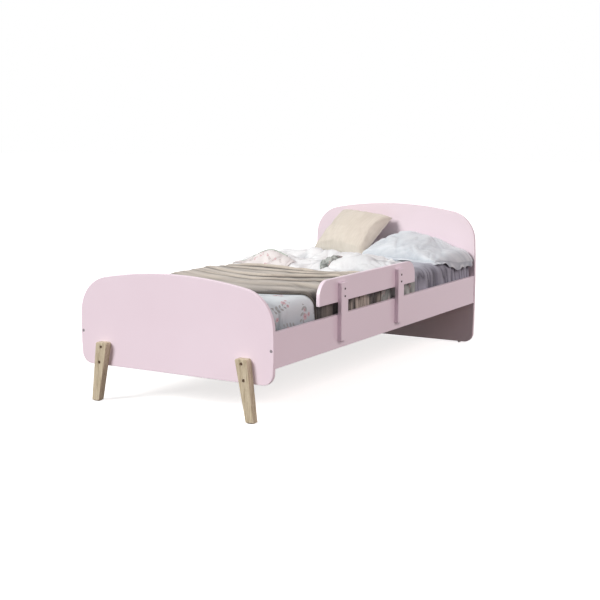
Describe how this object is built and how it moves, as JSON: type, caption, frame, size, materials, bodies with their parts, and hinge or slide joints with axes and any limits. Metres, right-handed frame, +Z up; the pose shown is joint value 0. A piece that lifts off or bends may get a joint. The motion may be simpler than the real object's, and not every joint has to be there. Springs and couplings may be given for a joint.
{
  "type": "single bed",
  "caption": "Child's single bed with round-shouldered head and foot boards, splayed wooden legs at the foot, a lift-off guard rail and bedding.",
  "frame": {"origin": "on the floor, midway between the rails and midway along the whole length, leg fronts to headboard back", "axes": "+X towards the side with the guard rail, +Y towards the headboard, +Z up"},
  "size_m": [0.988, 2.078, 0.7379],
  "materials": {
    "pink_lacquer": "18 mm board, satin lacquer in pale pink",
    "leg_wood": "solid pale wood, oiled, long straight grain",
    "slat_wood": "planed softwood, untreated",
    "dowel_wood": "turned beech, untreated",
    "dark_steel": "blackened steel",
    "zinc_steel": "zinc-plated steel",
    "pink_steel": "steel plate, powder coated in pale pink",
    "glide_plastic": "moulded polyethylene",
    "glide_felt": "pressed wool felt",
    "webbing": "woven cotton tape",
    "mattress_ticking": "knitted mattress ticking over foam",
    "sprig_cotton": "plain-weave cotton with a scattered sprig print",
    "taupe_weave": "soft washed linen and cotton weave",
    "white_cotton": "washed white cotton",
    "grey_cotton": "washed grey cotton",
    "beige_linen": "beige linen weave"
  },
  "bodies": {
    "bed": {"cushion": "beige_linen", "duvet": "white_cotton", "footboard_panel": "pink_lacquer", "grey_blanket": "grey_cotton", "headboard_glides": "glide_plastic", "headboard_panel": "pink_lacquer", "ledge_screws": "zinc_steel", "leg_bolts": "dark_steel", "leg_glides": "glide_felt", "leg_left": "leg_wood", "leg_right": "leg_wood", "leg_sleeve_nuts": "zinc_steel", "mattress": "mattress_ticking", "patterned_sheet": "sprig_cotton", "pillow": "white_cotton", "rail_bolts": "dark_steel", "rail_cross_dowels": "zinc_steel", "side_rail_left": "pink_lacquer", "side_rail_right": "pink_lacquer", "slat_01": "slat_wood", "slat_02": "slat_wood", "slat_03": "slat_wood", "slat_04": "slat_wood", "slat_05": "slat_wood", "slat_06": "slat_wood", "slat_07": "slat_wood", "slat_08": "slat_wood", "slat_09": "slat_wood", "slat_10": "slat_wood", "slat_11": "slat_wood", "slat_12": "slat_wood", "slat_13": "slat_wood", "slat_14": "slat_wood", "slat_end_screws": "zinc_steel", "slat_ledge_left": "slat_wood", "slat_ledge_right": "slat_wood", "slat_tape_left": "webbing", "slat_tape_right": "webbing", "tape_staples": "zinc_steel", "throw": "taupe_weave", "wooden_dowels": "dowel_wood"},
    "guard": {"guard_board": "pink_lacquer", "guard_bolts": "dark_steel", "guard_hook_foot": "pink_steel", "guard_hook_head": "pink_steel", "guard_post_foot": "pink_lacquer", "guard_post_head": "pink_lacquer", "guard_sleeve_nuts": "zinc_steel", "hook_screws": "zinc_steel"}
  },
  "joints": [
    {"name": "guard_lift", "type": "slide", "parent": "bed", "child": "guard", "axis": [0, 0, 1], "range_m": [0, 0.15]}
  ]
}
